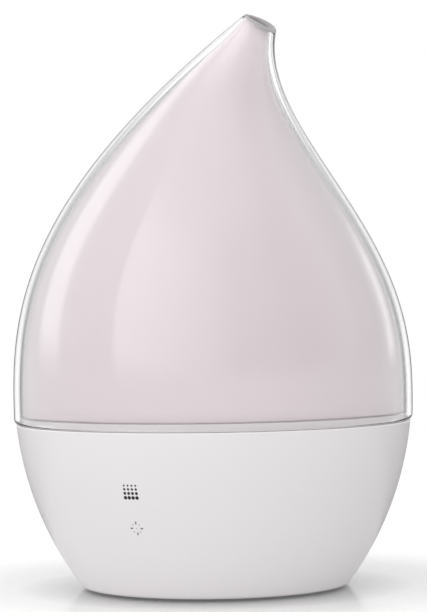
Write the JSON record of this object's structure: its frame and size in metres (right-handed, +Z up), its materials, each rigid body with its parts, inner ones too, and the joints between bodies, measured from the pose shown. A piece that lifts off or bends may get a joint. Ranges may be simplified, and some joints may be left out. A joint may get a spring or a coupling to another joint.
{
  "type": "cool mist humidifier",
  "caption": "Drop-shaped ultrasonic cool mist humidifier: clear tank over a milky pink liner, leaning mist mouth, lift-off tank on a white bowl base with touch marks.",
  "frame": {"origin": "on the floor under the middle of the round base", "axes": "+Z up, -Y towards the touch marks, +X the way the mist mouth leans"},
  "size_m": [0.2288, 0.2288, 0.3269],
  "materials": {
    "clear_shell": "clear acrylic, polished",
    "pink_liner": "milky pale pink, satin",
    "pink_liner_floor": "milky pale pink, satin",
    "white_gloss": "white, glossy",
    "white_matte": "white, matt",
    "silicone": "pale silicone rubber",
    "grey_rubber": "grey rubber",
    "spring_steel": "plain stainless steel",
    "float_foam": "pale blue foam plastic",
    "magnet": "dark ferrite",
    "reed_glass": "glass",
    "piezo_metal": "bright metal",
    "clear_window": "clear plastic",
    "board_green": "solder-masked board",
    "board_parts": "dark moulded parts",
    "heat_sink_alloy": "extruded aluminium",
    "black_plastic": "black, matt",
    "copper_coil": "enamelled copper",
    "lead_sheath": "flexible sheath"
  },
  "bodies": {
    "base": {"base_shell": "white_gloss", "cord_gland": "grey_rubber", "water_basin": "white_gloss", "basin_posts": "white_matte", "air_spout": "white_gloss", "mist_well": "white_gloss", "float_post": "white_matte", "float_stop": "white_matte", "reed_switch": "reed_glass", "transducer_seal": "silicone", "transducer_disc": "piezo_metal", "transducer_clamp": "piezo_metal", "transducer_screws": "spring_steel", "light_window": "clear_window", "light_board": "board_green", "light_screws": "spring_steel", "bottom_cover": "white_matte", "bottom_screws": "spring_steel", "rubber_feet": "grey_rubber", "fan_frame": "black_plastic", "fan_stator": "copper_coil", "fan_screws": "spring_steel", "air_duct": "white_matte", "driver_board": "board_green", "driver_parts": "board_parts", "heat_sink": "heat_sink_alloy", "power_transistor": "board_parts", "supply_board": "board_green", "supply_parts": "board_parts", "board_screws": "spring_steel", "touch_board": "board_green", "touch_springs": "spring_steel", "touch_screws": "spring_steel", "transducer_lead": "lead_sheath", "fan_lead": "lead_sheath", "touch_lead": "lead_sheath", "light_lead": "lead_sheath", "supply_lead": "lead_sheath"},
    "seat": {"seat_ring": "silicone"},
    "tank": {"tank_outer_shell": "clear_shell", "tank_liner": "pink_liner", "tank_floor": "pink_liner_floor", "filler_neck": "pink_liner_floor", "mist_chimney": "pink_liner_floor", "mist_nozzle": "pink_liner_floor"},
    "cap": {"fill_cap": "white_matte", "cap_gasket": "silicone", "valve_cage": "white_matte", "valve_spring": "spring_steel"},
    "valve": {"valve_stem": "white_matte", "valve_seal": "silicone"},
    "float": {"float_body": "float_foam", "float_magnet": "magnet"},
    "impeller": {"fan_impeller": "black_plastic"}
  },
  "joints": [
    {"name": "tank_turn", "type": "hinge", "parent": "base", "child": "seat", "pos_m": [0, 0, 0.0915], "axis": [0, 0, 1], "continuous": true},
    {"name": "tank_lift", "type": "slide", "parent": "seat", "child": "tank", "axis": [0, 0, 1], "range_m": [0, 0.12]},
    {"name": "cap_turn", "type": "hinge", "parent": "tank", "child": "cap", "pos_m": [-0.05716, 0, 0.088], "axis": [0, 0, 1], "range_deg": [0, 60]},
    {"name": "valve_close", "type": "slide", "parent": "cap", "child": "valve", "axis": [0, 0, -1], "range_m": [0, 0.004], "deforming": ["valve_spring"]},
    {"name": "float_rise", "type": "slide", "parent": "base", "child": "float", "axis": [0, 0, 1], "range_m": [0, 0.0055]},
    {"name": "fan_spin", "type": "hinge", "parent": "base", "child": "impeller", "pos_m": [-0.03869, 0, 0.0155], "axis": [0, 0, 1], "continuous": true}
  ],
  "couplings": [
    {"joint": "valve_close", "follows": "tank_lift", "ratio": 0.0333}
  ]
}
